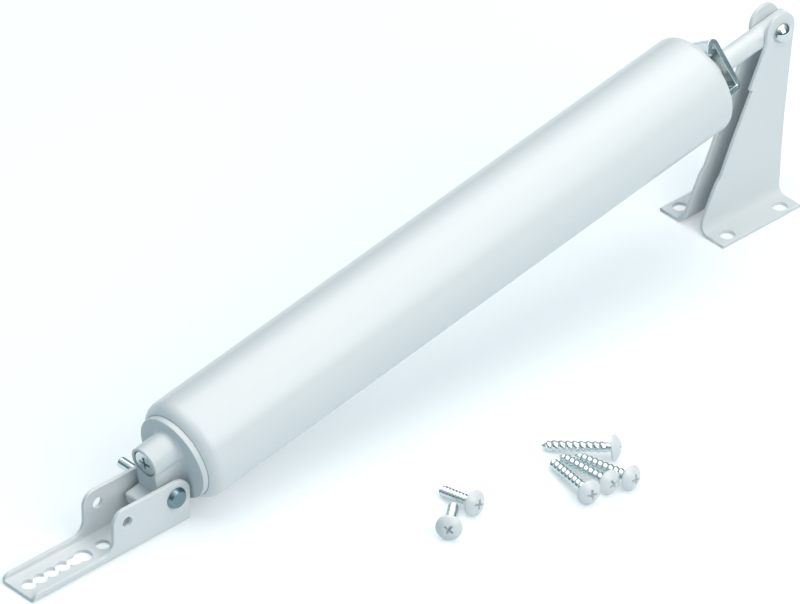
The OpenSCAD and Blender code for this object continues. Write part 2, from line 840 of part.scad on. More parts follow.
module foot_section() {
    inner_r = cheek_bend_r - jamb_sheet;
    start = jamb_gap / 2;
    translate([start, cheek_bend_r])
        square([jamb_sheet, cheek_top + cheek_r + over - cheek_bend_r]);
    translate([start + cheek_bend_r, 0])
        square([foot_reach - start - cheek_bend_r, jamb_sheet]);
    translate([start + cheek_bend_r, cheek_bend_r])
        rotate(180)
            intersection() {
                difference() {
                    circle(r = cheek_bend_r);
                    circle(r = inner_r);
                }
                square(cheek_bend_r);
            }
}

module web_outline() {
    levels = [web_low, rear_knee, web_high];
    polygon(concat(
        [for (z = levels) [rear_at(z) + web_back, z]],
        [for (i = [2 : -1 : 0]) [rear_at(levels[i]) + web_back - jamb_sheet, levels[i]]]));
}

module jamb_bracket() {
    color("white")
        difference() {
            union() {
                intersection() {
                    translate([front_x - over, 0, 0])
                        rotate([90, 0, 90])
                            linear_extrude(foot_length + cheek_r + 2 * over)
                                for (side = [0, 1])
                                    mirror([side, 0])
                                        foot_section();
                    translate([0, foot_reach + over, 0])
                        rotate([90, 0, 0])
                            linear_extrude(2 * (foot_reach + over))
                                cheek_outline();
                }
                translate([0, jamb_gap / 2 + jamb_sheet / 2, 0])
                    rotate([90, 0, 0])
                        linear_extrude(jamb_gap + jamb_sheet)
                            web_outline();
            }
            across_y(jamb_pin_x, jamb_pin_height, jamb_half + over, pin_r + pin_gap);
            for (x = [0, foot_hole_length], side = [-1, 1])
                translate([jamb_pin_x - foot_hole_reach - x, side * foot_hole_width / 2, -over])
                    cylinder(h = jamb_sheet + 2 * over, r = foot_hole_r);
        }
}

module jamb_pin() {
    head_r = dome_r(jamb_head_r, jamb_head_height);
    far_r = dome_r(rivet_r, rivet_height);
    color("silver")
        translate([jamb_pin_x, 0, jamb_pin_height])
            rotate([90, 0, 0])
                rotate_extrude()
                    polygon(concat(
                        arc(0, far_r - jamb_half - rivet_height, far_r, -90,
                            asin(rivet_r / far_r) - 90),
                        [[pin_r, -jamb_half], [pin_r, jamb_half]],
                        arc(0, jamb_half + jamb_head_height - head_r, head_r,
                            90 - asin(jamb_head_r / head_r), 90)));
}

// Loose screws: each lies on its head's rim and on the end of its thread

module loose_screw(length, head_r, pitch, point) {
    root_r = thread_r - thread_depth;
    cap_r = dome_r(head_r, screw_head_height);
    turns = floor((length - point - over) / pitch);
    thread_start = length - point - turns * pitch;
    difference() {
        turned(concat(
            arc(cap_r - screw_head_height, 0, cap_r, 180, 180 - asin(head_r / cap_r)),
            [[0, root_r]],
            [for (i = [0 : turns - 1])
                each [[thread_start + (i + 0.1) * pitch, root_r],
                    [thread_start + (i + 0.55) * pitch, thread_r],
                    [thread_start + (i + 0.75) * pitch, thread_r]]],
            [[length - point, root_r], [length, 0]]));
        translate([-screw_head_height, 0, 0])
            cross_slot(screw_slot_reach, slot_depth);
    }
}

module lying(head, turn, length, head_r, point) {
    lean = atan((head_r - thread_r) / (length - point));
    translate([head[0], head[1], head_r * cos(lean)])
        rotate([0, 0, turn])
            rotate([0, lean, 0])
                children();
}

module jamb_screws() {
    color("gainsboro")
        for (i = [0 : len(long_heads) - 1])
            lying(long_heads[i], long_turns[i], long_screw, long_head_r, long_point)
                loose_screw(long_screw, long_head_r, long_pitch, long_point);
}

module door_screws() {
    color("gainsboro")
        for (i = [0 : len(short_heads) - 1])
            lying(short_heads[i], short_turns[i], short_screw, short_head_r, short_point)
                loose_screw(short_screw, short_head_r, short_pitch, short_point);
}

door_bracket();
door_pin();
end_cap();
end_cap_seal();
adjusting_screw();
adjusting_screw_seal();
bumper();
cylinder_tube();
piston();
piston_cup();
piston_washer();
piston_nut();
rod();
return_spring();
spring_seat();
rod_guide();
guide_ring();
hold_open_washer();
jamb_bracket();
jamb_pin();
jamb_screws();
door_screws();
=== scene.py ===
import json
import math

import bmesh
import bpy
from mathutils import Matrix, Vector
from mathutils.geometry import tessellate_polygon


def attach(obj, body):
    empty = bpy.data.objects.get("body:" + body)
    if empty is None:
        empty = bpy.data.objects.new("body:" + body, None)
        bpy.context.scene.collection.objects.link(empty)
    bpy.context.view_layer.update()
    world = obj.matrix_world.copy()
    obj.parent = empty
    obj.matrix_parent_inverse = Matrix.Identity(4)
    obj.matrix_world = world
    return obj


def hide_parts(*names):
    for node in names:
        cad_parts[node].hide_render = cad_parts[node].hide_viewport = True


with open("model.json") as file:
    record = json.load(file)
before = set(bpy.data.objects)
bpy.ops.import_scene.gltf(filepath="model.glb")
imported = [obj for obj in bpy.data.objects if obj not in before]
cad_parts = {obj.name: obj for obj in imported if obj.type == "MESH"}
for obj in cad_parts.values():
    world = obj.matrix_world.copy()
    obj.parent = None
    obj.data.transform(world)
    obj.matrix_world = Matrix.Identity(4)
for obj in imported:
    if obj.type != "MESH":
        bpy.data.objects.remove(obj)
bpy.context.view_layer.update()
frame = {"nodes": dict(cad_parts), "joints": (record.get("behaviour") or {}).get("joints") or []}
joints = {joint["name"]: joint for joint in frame["joints"]}
mm = 0.001
print("frame loaded")

# Shared sizes in millimetres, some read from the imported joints
layout = {
    "pinHeight": joints["door_pivot"]["pos_m"][2] / mm,
    "pinOffset": 8.0,
    "pinGap": 0.06,
    "pinR": 2.0,
    "jambPin": Vector(joints["jamb_pivot"]["pos_m"]) / mm,
    "tubeAxis": Vector(joints["rod_slide"]["axis"]),
}
tilt = math.atan2(layout["tubeAxis"].z, layout["tubeAxis"].x)
onAxis = (
    Matrix.Translation((0, 0, layout["pinHeight"]))
    @ Matrix.Rotation(-tilt, 4, "Y")
    @ Matrix.Translation((0, 0, layout["pinOffset"]))
)


# Outlines

def arc(x, y, r, start, end, steps=8):
    angles = [math.radians(start + (end - start) * i / steps) for i in range(steps + 1)]
    return [(x + r * math.cos(a), y + r * math.sin(a)) for a in angles]


def circle(x, y, r, steps=40):
    return arc(x, y, r, 0, 360, steps)[:-1]


# Rounds each corner (x, y, radius) of an outline with an arc
def rounded(corners, closed=False, steps=5):
    points = []
    count = len(corners)
    for i, (x, y, r) in enumerate(corners):
        here = Vector((x, y))
        if r <= 0 or (not closed and i in (0, count - 1)):
            points.append((x, y))
            continue
        before = (Vector(corners[i - 1][:2]) - here).normalized()
        after = (Vector(corners[(i + 1) % count][:2]) - here).normalized()
        half = before.angle(after) / 2
        reach = r / math.tan(half)
        middle = here + (before + after).normalized() * (r / math.sin(half))
        a = here + before * reach - middle
        b = here + after * reach - middle
        turn = a.angle_signed(b)
        for k in range(steps + 1):
            spoke = a.copy()
            spoke.rotate(Matrix.Rotation(-turn * k / steps, 2))
            points.append(tuple(middle + spoke))
    return points


# Moves an outline towards its left side, which is where the material lies; sharpest limits
# how far a very sharp corner may run
def inset(loop, distance, sharpest=0.3):
    moved = []
    count = len(loop)
    for i in range(count):
        before = Vector(loop[i]) - Vector(loop[i - 1])
        after = Vector(loop[(i + 1) % count]) - Vector(loop[i])
        n1 = Vector((-before.y, before.x)).normalized()
        n2 = Vector((-after.y, after.x)).normalized()
        step = distance if not isinstance(distance, list) else distance[i]
        spread = max(sharpest, 1 + n1.dot(n2))
        moved.append(tuple(Vector(loop[i]) + (n1 + n2) * (step / spread)))
    return moved


# Outline of circles (x, radius) in a row that run into each other
def chain(circles, y=0.0, steps=10):
    upper = []
    for i, (x, r) in enumerate(circles):
        start, end = math.pi, 0.0
        if i > 0:
            d = x - circles[i - 1][0]
            start = math.acos(-(d * d + r * r - circles[i - 1][1] ** 2) / (2 * d * r))
        if i < len(circles) - 1:
            d = circles[i + 1][0] - x
            end = math.acos((d * d + r * r - circles[i + 1][1] ** 2) / (2 * d * r))
        for k in range(steps + 1):
            a = start + (end - start) * k / steps
            upper.append((x + r * math.cos(a), y + r * math.sin(a)))
    clean = [p for i, p in enumerate(upper) if i == 0 or math.dist(p, upper[i - 1]) > 1e-6]
    lower = [(px, 2 * y - py) for px, py in reversed(clean[1:-1])]
    return clean + lower


# Meshes

def capWith(mesh, loops, flip=False):
    flat = [[Vector((v.co.x, v.co.y, 0)) for v in loop] for loop in loops]
    verts = [v for loop in loops for v in loop]
    for tri in tessellate_polygon(flat):
        corners = [verts[i] for i in tri]
        normal = (corners[1].co - corners[0].co).cross(corners[2].co - corners[0].co)
        if (normal.z < 0) != flip:
            corners.reverse()
        if len(set(corners)) == 3 and not mesh.faces.get(corners):
            mesh.faces.new(corners)


def joinRings(mesh, rings, closed=True):
    for a, b in zip(rings, rings[1:]):
        count = max(len(a), len(b))
        for i in range(count if closed else count - 1):
            j = (i + 1) % count
            face = [a[i % len(a)], a[j % len(a)], b[j % len(b)], b[i % len(b)]]
            face = [v for k, v in enumerate(face) if v not in face[:k]]
            if len(face) > 2:
                mesh.faces.new(face)


# A plate in the XY plane with rounded rims; the outer loop runs anticlockwise, holes clockwise
def plate(outer, holes, depth, edge, steps=3):
    mesh = bmesh.new()
    lifts = []
    for k in range(steps + 1):
        a = math.radians(90 * k / steps)
        lifts.append((edge * (1 - math.sin(a)), edge * (1 - math.cos(a))))
    levels = lifts + [(cut, depth - rise) for cut, rise in reversed(lifts)]
    bottoms, tops = [], []
    for loop in [outer] + holes:
        rings = []
        for cut, height in levels:
            rings.append([mesh.verts.new((x, y, height)) for x, y in inset(loop, cut)])
        joinRings(mesh, rings)
        bottoms.append(rings[0])
        tops.append(rings[-1])
    capWith(mesh, bottoms, flip=True)
    capWith(mesh, tops)
    bmesh.ops.recalc_face_normals(mesh, faces=mesh.faces)
    return mesh


def cutAt(mesh, axis, places):
    normal = Vector((0, 0, 0))
    normal[axis] = 1
    for place in places:
        bmesh.ops.bisect_plane(
            mesh,
            geom=mesh.verts[:] + mesh.edges[:] + mesh.faces[:],
            dist=1e-5,
            plane_co=normal * place,
            plane_no=normal,
        )


def folded(mesh, fold):
    for v in mesh.verts:
        v.co = Vector(fold(*v.co))
    bmesh.ops.recalc_face_normals(mesh, faces=mesh.faces)
    return mesh


# A body turned about the X axis from points (place on the axis, radius)
def turned(profile, segments=96, closed=False):
    mesh = bmesh.new()
    rings = []
    for x, r in profile:
        if r < 1e-6:
            rings.append([mesh.verts.new((x, 0, 0))])
            continue
        angles = [2 * math.pi * k / segments for k in range(segments)]
        rings.append([mesh.verts.new((x, r * math.cos(a), r * math.sin(a))) for a in angles])
    if closed:
        rings.append(rings[0])
    joinRings(mesh, rings)
    bmesh.ops.recalc_face_normals(mesh, faces=mesh.faces)
    return mesh


# A body through loops that all have the same number of points
def lofted(loops):
    mesh = bmesh.new()
    rings = [[mesh.verts.new(p) for p in loop] for loop in loops]
    joinRings(mesh, rings)
    mesh.faces.new(rings[0])
    mesh.faces.new(rings[-1])
    bmesh.ops.recalc_face_normals(mesh, faces=mesh.faces)
    return mesh


def addMesh(name, mesh, place=Matrix.Identity(4), sharp=None):
    mesh.transform(Matrix.Diagonal((mm, mm, mm, 1)) @ place)
    data = bpy.data.meshes.new(name)
    mesh.to_mesh(data)
    mesh.free()
    for polygon in data.polygons:
        polygon.use_smooth = True
    if sharp is not None:
        data.set_sharp_from_angle(angle=math.radians(sharp))
    piece = bpy.data.objects.new(name, data)
    bpy.context.scene.collection.objects.link(piece)
    return piece


def baked(piece, sharp=None):
    bpy.context.view_layer.update()
    ready = piece.evaluated_get(bpy.context.evaluated_depsgraph_get())
    data = bpy.data.meshes.new_from_object(ready)
    piece.modifiers.clear()
    piece.data = data
    if sharp is not None:
        for polygon in data.polygons:
            polygon.use_smooth = True
        data.set_sharp_from_angle(angle=math.radians(sharp))
    return piece


def carved(piece, cutter, sharp=35, operation="DIFFERENCE"):
    change = piece.modifiers.new("cut", "BOOLEAN")
    change.operation = operation
    change.solver = "EXACT"
    change.object = cutter
    baked(piece, sharp)
    bpy.data.objects.remove(cutter)
    return piece


def settle(piece, material, body, slot, *nodes):
    weigh = piece.modifiers.new("normals", "WEIGHTED_NORMAL")
    weigh.keep_sharp = True
    baked(piece)
    piece.data.materials.clear()
    piece.data.materials.append(material)
    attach(piece, body)
    if nodes:
        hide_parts(*nodes)
    return piece


# Materials

# Fine relief and a slow drift, used by every finish here
def makeGrainGroup():
    group = bpy.data.node_groups.new("grain", "ShaderNodeTree")
    sockets = group.interface
    for name, value in (("Scale", 900.0), ("Drift Scale", 30.0), ("Roughness", 0.3),
                        ("Roughness Range", 0.06), ("Height", 0.00002)):
        socket = sockets.new_socket(name, in_out="INPUT", socket_type="NodeSocketFloat")
        socket.default_value = value
    sockets.new_socket("Roughness", in_out="OUTPUT", socket_type="NodeSocketFloat")
    sockets.new_socket("Drift", in_out="OUTPUT", socket_type="NodeSocketFloat")
    sockets.new_socket("Normal", in_out="OUTPUT", socket_type="NodeSocketVector")
    nodes, links = group.nodes, group.links
    source = nodes.new("NodeGroupInput")
    result = nodes.new("NodeGroupOutput")
    place = nodes.new("ShaderNodeTexCoord")
    fine = nodes.new("ShaderNodeTexNoise")
    slow = nodes.new("ShaderNodeTexNoise")
    bump = nodes.new("ShaderNodeBump")
    centred = nodes.new("ShaderNodeMath")
    centred.operation = "SUBTRACT"
    centred.inputs[1].default_value = 0.5
    spread = nodes.new("ShaderNodeMath")
    spread.operation = "MULTIPLY_ADD"
    fine.inputs["Detail"].default_value = 3.0
    slow.inputs["Detail"].default_value = 4.0
    links.new(place.outputs["Object"], fine.inputs["Vector"])
    links.new(place.outputs["Object"], slow.inputs["Vector"])
    links.new(source.outputs["Scale"], fine.inputs["Scale"])
    links.new(source.outputs["Drift Scale"], slow.inputs["Scale"])
    links.new(fine.outputs["Fac"], bump.inputs["Height"])
    links.new(source.outputs["Height"], bump.inputs["Distance"])
    links.new(slow.outputs["Fac"], centred.inputs[0])
    links.new(centred.outputs[0], spread.inputs[0])
    links.new(source.outputs["Roughness Range"], spread.inputs[1])
    links.new(source.outputs["Roughness"], spread.inputs[2])
    links.new(spread.outputs[0], result.inputs["Roughness"])
    links.new(slow.outputs["Fac"], result.inputs["Drift"])
    links.new(bump.outputs["Normal"], result.inputs["Normal"])
    return group


grainGroup = makeGrainGroup()


def makeFinish(name, light, dark, metallic=0.0, grain=None, **shaderValues):
    material = bpy.data.materials.new(name)
    material.use_nodes = True
    nodes, links = material.node_tree.nodes, material.node_tree.links
    shader = nodes["Principled BSDF"]
    relief = nodes.new("ShaderNodeGroup")
    relief.node_tree = grainGroup
    for socket, value in (grain or {}).items():
        relief.inputs[socket].default_value = value
    tint = nodes.new("ShaderNodeMix")
    tint.data_type = "RGBA"
    tint.inputs["A"].default_value = (*dark, 1)
    tint.inputs["B"].default_value = (*light, 1)
    links.new(relief.outputs["Drift"], tint.inputs["Factor"])
    links.new(tint.outputs["Result"], shader.inputs["Base Color"])
    links.new(relief.outputs["Roughness"], shader.inputs["Roughness"])
    links.new(relief.outputs["Normal"], shader.inputs["Normal"])
    shader.inputs["Metallic"].default_value = metallic
    for socket, value in shaderValues.items():
        shader.inputs[socket.replace("_", " ")].default_value = value
    return material


whitePaint = makeFinish(
    "whitePaint", (0.8, 0.83, 0.835), (0.795, 0.825, 0.83),
    grain={"Scale": 600.0, "Roughness": 0.28, "Roughness Range": 0.02, "Height": 0.000002},
)
castPaint = makeFinish(
    "castPaint", (0.745, 0.785, 0.795), (0.705, 0.75, 0.76),
    grain={"Scale": 450.0, "Roughness": 0.36, "Height": 0.000015, "Drift Scale": 60.0},
)
brightZinc = makeFinish(
    "brightZinc", (0.74, 0.81, 0.82), (0.5, 0.6, 0.62), metallic=1.0,
    grain={"Scale": 1500.0, "Roughness": 0.18, "Roughness Range": 0.15, "Height": 0.00001,
           "Drift Scale": 120.0},
)
greySteel = makeFinish(
    "greySteel", (0.22, 0.31, 0.34), (0.15, 0.22, 0.25), metallic=1.0,
    grain={"Scale": 1200.0, "Roughness": 0.3, "Height": 0.00002, "Drift Scale": 150.0},
)
chrome = makeFinish(
    "chrome", (0.64, 0.69, 0.69), (0.56, 0.62, 0.62), metallic=1.0,
    grain={"Scale": 1500.0, "Roughness": 0.08, "Roughness Range": 0.05, "Height": 0.000003},
)
rubber = makeFinish("rubber", (0.035, 0.035, 0.035), (0.02, 0.02, 0.02),
                    grain={"Roughness": 0.7, "Height": 0.00004})
nylon = makeFinish("nylon", (0.78, 0.76, 0.70), (0.72, 0.70, 0.64), grain={"Roughness": 0.45})
print("materials made")


# Door bracket: flat pattern (x, s) with s along the sheet from its middle line, then folded up

doorBracket = {
    "sheet": 1.5, "half": 8.4, "bendR": 2.0, "front": -64.4, "earR": 6.55, "earFront": -28.3,
    "earCornerR": 5.0, "filletR": 5.0, "lowWall": 3.4, "lowCornerR": 3.0, "edge": 0.28,
    "spare": (-22.0, 13.1), "earHole": (-26.0, 2.6), "largeHole": (-35.2, 3.3),
    "lobeR": 2.7, "lobePitch": 5.07, "lobeCount": 5, "firstLobe": -39.1,
}


def makeDoorBracket():
    p = doorBracket
    flat = p["half"] - p["bendR"]
    neutral = p["bendR"] - p["sheet"] / 2
    bend = neutral * math.pi / 2

    def along(z):
        return flat + bend + z - p["bendR"]

    pinZ = layout["pinHeight"]
    topS = along(pinZ + p["earR"])
    lowS = along(p["lowWall"])
    side = [(p["earR"], 0)]
    side += arc(0, along(pinZ), p["earR"], 0, 90, 14)
    side += arc(p["earFront"] + p["earCornerR"], topS - p["earCornerR"], p["earCornerR"], 90, 180, 10)
    side += arc(p["earFront"] - p["filletR"], lowS + p["filletR"], p["filletR"], 0, -90, 10)
    side += arc(p["front"] + p["lowCornerR"], lowS - p["lowCornerR"], p["lowCornerR"], 90, 180, 8)
    outer = side + [(x, -s) for x, s in reversed(side[1:])]
    outer = outer[1:]
    lobes = [(p["firstLobe"] - i * p["lobePitch"], p["lobeR"]) for i in range(p["lobeCount"])]
    holes = [chain(lobes[::-1] + [p["largeHole"]]), circle(p["earHole"][0], 0, p["earHole"][1])[::-1]]
    for sign in (-1, 1):
        for x, z in ((0, pinZ), p["spare"]):
            holes.append(circle(x, sign * along(z), layout["pinR"] + layout["pinGap"])[::-1])
    mesh = plate(outer, holes, p["sheet"], p["edge"])
    steps = 6
    bends = [flat + bend * k / steps for k in range(steps + 1)]
    cutAt(mesh, 1, bends + [-s for s in bends])

    def fold(x, s, w):
        sign = -1 if s < 0 else 1
        s = abs(s)
        if s <= flat:
            return x, sign * s, w
        if s >= flat + bend:
            return x, sign * (p["half"] - w), p["bendR"] + s - flat - bend
        a = (s - flat) / neutral
        r = p["bendR"] - w
        return x, sign * (flat + r * math.sin(a)), p["bendR"] - r * math.cos(a)

    piece = addMesh("doorBracket", folded(mesh, fold))
    settle(piece, whitePaint, "base", "white_paint", "door_bracket")


makeDoorBracket()


# Pins: a head, a shank and a rounded or formed end, drawn along X and laid along Y

doorPin = {"headR": 4.0, "headHeight": 1.8, "flatR": 3.1, "reach": 11.6, "lip": 0.4,
           "flatEdge": 0.5, "rimEdge": 0.4, "rootEdge": 0.1, "sunk": 0.5, "endEdge": 0.5}
jambPin = {"headR": 3.85, "headHeight": 3.4, "farR": 3.2, "farHeight": 1.4, "lip": 0.35}
dome = {"lipShare": 0.3, "under": 0.1}


# Half outline of a domed head that stands on x = 0 and rises towards -X
def domeProfile(headR, height, lip, steps=14):
    rise = height - lip
    r = (headR * headR + rise * rise) / (2 * rise)
    top = math.asin(min(1.0, headR / r))
    points = [(-height + r * (1 - math.cos(top * k / steps)), r * math.sin(top * k / steps))
              for k in range(steps + 1)]
    return points + [(-lip * dome["lipShare"], headR), (0, headR - dome["under"])]


def makePins():
    acrossY = Matrix.Rotation(math.radians(90), 4, "Z")
    half = doorBracket["half"]
    shankEnd = 2 * half + doorPin["reach"]
    headR, height = doorPin["headR"], doorPin["headHeight"]
    place = Matrix.Translation((0, -half, layout["pinHeight"])) @ acrossY
    profile = rounded([(-height, 0, 0), (-height, doorPin["flatR"], doorPin["flatEdge"]),
                       (-doorPin["lip"], headR, doorPin["rimEdge"]), (0, headR, doorPin["rootEdge"]),
                       (0, 0, 0)])
    head = addMesh("doorPinHead", turned(profile, 64), place)
    settle(head, greySteel, "pin", "grey_steel", "door_pin")
    profile = rounded([(-doorPin["sunk"], 0, 0), (-doorPin["sunk"], layout["pinR"], 0),
                       (shankEnd, layout["pinR"], doorPin["endEdge"]), (shankEnd, 0, 0)])
    shank = addMesh("doorPinShank", turned(profile, 64), place)
    settle(shank, brightZinc, "pin", "bright_zinc")

    half = jambBracket["gap"] / 2 + jambBracket["sheet"]
    profile = domeProfile(jambPin["headR"], jambPin["headHeight"], jambPin["lip"])
    profile += [(0, layout["pinR"]), (2 * half, layout["pinR"])]
    far = domeProfile(jambPin["farR"], jambPin["farHeight"], jambPin["lip"])
    profile += [(2 * half - x, r) for x, r in reversed(far)]
    place = Matrix.Translation((layout["jambPin"].x, -half, layout["jambPin"].z)) @ acrossY
    rivet = addMesh("jambPin", turned(profile, 64), place)
    settle(rivet, chrome, "jamb", "chrome", "jamb_pin")


# End cap: turned body, round boss for the screw on a narrower lug, toe in front

endCap = {
    "face": 7.15, "rimWidth": 2.2, "rimR": 15.9, "rimEdge": 0.35, "depth": 16.85, "web": 6.0,
    "hollowR": 13.2, "bossR": 6.3, "half": 5.15, "bossReach": 4.85, "screwHeight": 6.1, "lugDrop": 12.6,
    "toeReach": 11.2, "toeThickness": 7.0, "tipR": 1.0, "heelR": 4.2, "flareR": 2.2, "frontEdge": 0.45,
    "draft": 0.12, "recessR": 5.05, "recessDepth": 4.6, "recessEdge": 0.25, "grooveBack": 6.9,
    "grooveWidth": 2.9, "grooveDepth": 2.25, "innerEdge": 0.3, "webEdge": 0.5, "lugEdge": 0.8,
    "flareMargin": 0.15, "leastFlare": 0.05, "flareSteps": 8, "frontSteps": 5, "toeEdge": 0.4,
}
tube = {"r": 19.05, "wall": 0.9, "end": 260.3, "shoulderR": 6.0, "lipR": 4.0, "fit": 0.05}
overRim = endCap["rimR"] + tube["fit"] - (tube["r"] - tube["shoulderR"])
shoulder = Vector((
    endCap["face"] + endCap["rimWidth"] + math.sqrt(tube["shoulderR"] ** 2 - overRim ** 2),
    tube["r"] - tube["shoulderR"],
))


def makeCapBody():
    p = endCap
    seated = tube["r"] - tube["wall"] - tube["fit"]
    cornerR = tube["shoulderR"] - tube["wall"] - tube["fit"]
    capEnd = p["face"] + p["depth"]
    groove = capEnd - p["grooveBack"]
    grooveEnd = groove + p["grooveWidth"]
    floorR = seated - p["grooveDepth"]
    start = 180 - math.degrees(math.asin((p["rimR"] - shoulder.y) / cornerR))
    profile = rounded([(p["face"], 0, 0), (p["face"], p["rimR"], p["rimEdge"]), (shoulder.x, p["rimR"], 0)])
    profile = profile[:-1] + arc(shoulder.x, shoulder.y, cornerR, start, 90)
    profile += [(groove, seated), (groove, floorR), (grooveEnd, floorR)]
    webEnd = p["face"] + p["web"]
    profile += rounded([(grooveEnd, seated, 0), (capEnd, seated, p["innerEdge"]),
                        (capEnd, p["hollowR"], p["innerEdge"]), (webEnd, p["hollowR"], p["webEdge"]),
                        (webEnd, 0, 0)])
    body = addMesh("endCapBody", turned(profile, 128), onAxis)
    settle(body, castPaint, "closer", "white_paint", "end_cap")


# The boss and lug share one outline across the axis, which flares into the cap's face
def makeCapBoss():
    p = endCap
    lean = math.degrees(math.acos(p["half"] / p["bossR"]))
    outline = arc(0, p["screwHeight"], p["bossR"], -lean, 180 + lean, 48)
    bottom = rounded([(-p["half"], 0, 0), (-p["half"], -p["lugDrop"], p["lugEdge"]),
                      (p["half"], -p["lugDrop"], p["lugEdge"]), (p["half"], 0, 0)])
    outline += bottom[1:-1]
    margin = p["rimR"] - p["rimEdge"] - p["flareMargin"]
    room = [min(p["flareR"], max(p["leastFlare"], margin - math.hypot(y, z))) for y, z in outline]
    levels = []
    for k in range(p["flareSteps"] + 1):
        a = math.radians(90 * k / p["flareSteps"])
        levels.append((p["face"] - p["flareR"] * (1 - math.cos(a)), [-(1 - math.sin(a)) * r for r in room]))
    front = -p["bossReach"]
    for k in range(p["frontSteps"] + 1):
        a = math.radians(90 * k / p["frontSteps"])
        levels.append((front + p["frontEdge"] * (1 - math.sin(a)),
                       p["draft"] + p["frontEdge"] * (1 - math.cos(a))))
    mesh = bmesh.new()
    rings = [[mesh.verts.new((y, z, x)) for y, z in inset(outline, cut)] for x, cut in levels]
    joinRings(mesh, rings)
    mesh.faces.new(rings[0])
    holeRings = []
    edge = p["recessEdge"]
    for x, cut in ((front, edge), (front + edge, 0), (front + p["recessDepth"], 0)):
        hole = circle(0, p["screwHeight"], p["recessR"] + cut, 48)
        holeRings.append([mesh.verts.new((y, z, x)) for y, z in hole])
    joinRings(mesh, holeRings)
    mesh.faces.new(holeRings[-1])
    capWith(mesh, [rings[-1], holeRings[0]])
    for v in mesh.verts:
        v.co = Vector((v.co.z, v.co.x, v.co.y))
    bmesh.ops.recalc_face_normals(mesh, faces=mesh.faces)
    boss = addMesh("endCapBoss", mesh, onAxis, sharp=50)
    settle(boss, castPaint, "closer", "white_paint")


def makeCapToe():
    p = endCap
    top = p["toeThickness"] - p["lugDrop"]
    toe = rounded([(0, top, 0), (-p["toeReach"], top, p["tipR"]), (-p["toeReach"], -p["lugDrop"], p["heelR"]),
                   (0, -p["lugDrop"], 0)], steps=12)
    thickness = 2 * p["half"]
    mesh = plate(toe, [], thickness, p["toeEdge"], 4)
    lay = Matrix.Translation((0, p["half"], 0)) @ Matrix.Rotation(math.radians(90), 4, "X")
    settle(addMesh("endCapToe", mesh, onAxis @ lay), castPaint, "closer", "white_paint")


# Sections of a cross recess: how deep, and its reach and width, as shares of the whole
crossTaper = [(0.0, 1.0, 1.0), (1.0, 0.42, 0.55), (1.2, 0.06, 0.06)]
crossLead = {"x": -1.0, "along": 1.1, "across": 1.1}


# Cross recess, tapered, cut into a face at X = 0 towards +X
def recessCutter(name, reach, width, depth, place):
    sections = [(crossLead["x"], crossLead["along"], crossLead["across"])]
    sections += [(depth * share, along, across) for share, along, across in crossTaper]
    loops = []
    for x, along, across in sections:
        a, b = reach * along, width / 2 * across
        wing = [(a, -b), (a, b), (b, b)]
        loops.append([])
        for _ in range(4):
            loops[-1] += [(x, u, v) for u, v in wing]
            wing = [(-v, u) for u, v in wing]
    return addMesh(name, lofted(loops), place)


adjustingScrew = {"headR": 4.75, "length": 4.1, "shankR": 2.3, "seat": 16.0, "sink": 0.35,
                  "slotReach": 2.7, "slotWidth": 1.15, "slotDepth": 2.2, "turn": -2,
                  "rimEdge": 0.45, "backEdge": 0.3, "neckEdge": 0.2, "coneBack": 3.2, "coneEnd": 1.6,
                  "coneR": 1.3, "tipReach": 0.4, "tipR": 0.3}


def makeAdjustingScrew():
    p = adjustingScrew
    front = p["sink"] - endCap["bossReach"]
    headEnd = front + p["length"]
    tip = p["seat"] + p["tipReach"]
    profile = rounded([(front, 0, 0), (front, p["headR"], p["rimEdge"]), (headEnd, p["headR"], p["backEdge"]),
                       (headEnd, p["shankR"], p["neckEdge"]),
                       (p["seat"] - p["coneBack"], p["shankR"], p["neckEdge"]),
                       (p["seat"] - p["coneEnd"], p["coneR"], 0), (tip, p["tipR"], 0), (tip, 0, 0)])
    place = onAxis @ Matrix.Translation((0, 0, endCap["screwHeight"]))
    place @= Matrix.Rotation(math.radians(p["turn"]), 4, "X")
    screw = addMesh("adjustingScrew", turned(profile, 64), place)
    cutter = recessCutter("recess", p["slotReach"], p["slotWidth"], p["slotDepth"],
                          place @ Matrix.Translation((front, 0, 0)))
    carved(screw, cutter)
    settle(screw, brightZinc, "speed_screw", "bright_zinc", "adjusting_screw")


makeCapBody()
makeCapBoss()
makeCapToe()
makeAdjustingScrew()
print("door end made")


# Tube, with the guide and its ring at the jamb end

def makeTube():
    p = tube
    inner = p["shoulderR"] - p["wall"]
    lip = Vector((p["end"] - p["lipR"], p["r"] - p["lipR"]))
    outerStart = 180 - math.degrees(math.asin(overRim / p["shoulderR"]))
    innerStart = 180 - math.degrees(math.asin(overRim / inner))
    profile = arc(*shoulder, p["shoulderR"], outerStart, 90, 16)
    profile += arc(*lip, p["lipR"], 90, 0, 16)
    profile += arc(*lip, p["lipR"] - p["wall"], 0, 90, 10)
    profile += arc(*shoulder, inner, 90, innerStart, 10)
    piece = addMesh("tube", turned(profile, 160, closed=True), onAxis)
    settle(piece, whitePaint, "closer", "white_paint", "cylinder_tube")


guide = {"length": 9.6, "ring": 1.1, "neckR": 6.5, "gap": 0.08}
rod = {"r": 3.97, "neckR": 3.0, "start": 27.0, "shoulder": 47.8, "overhang": 7.0,
       "flatThickness": 6.4, "flatLength": 9.9, "blend": 0.8, "blendPower": 0.6, "ring": 0.1,
       "neckEdge": 0.4, "rootEdge": 0.1, "shoulderEdge": 0.2, "endEdge": 0.6}


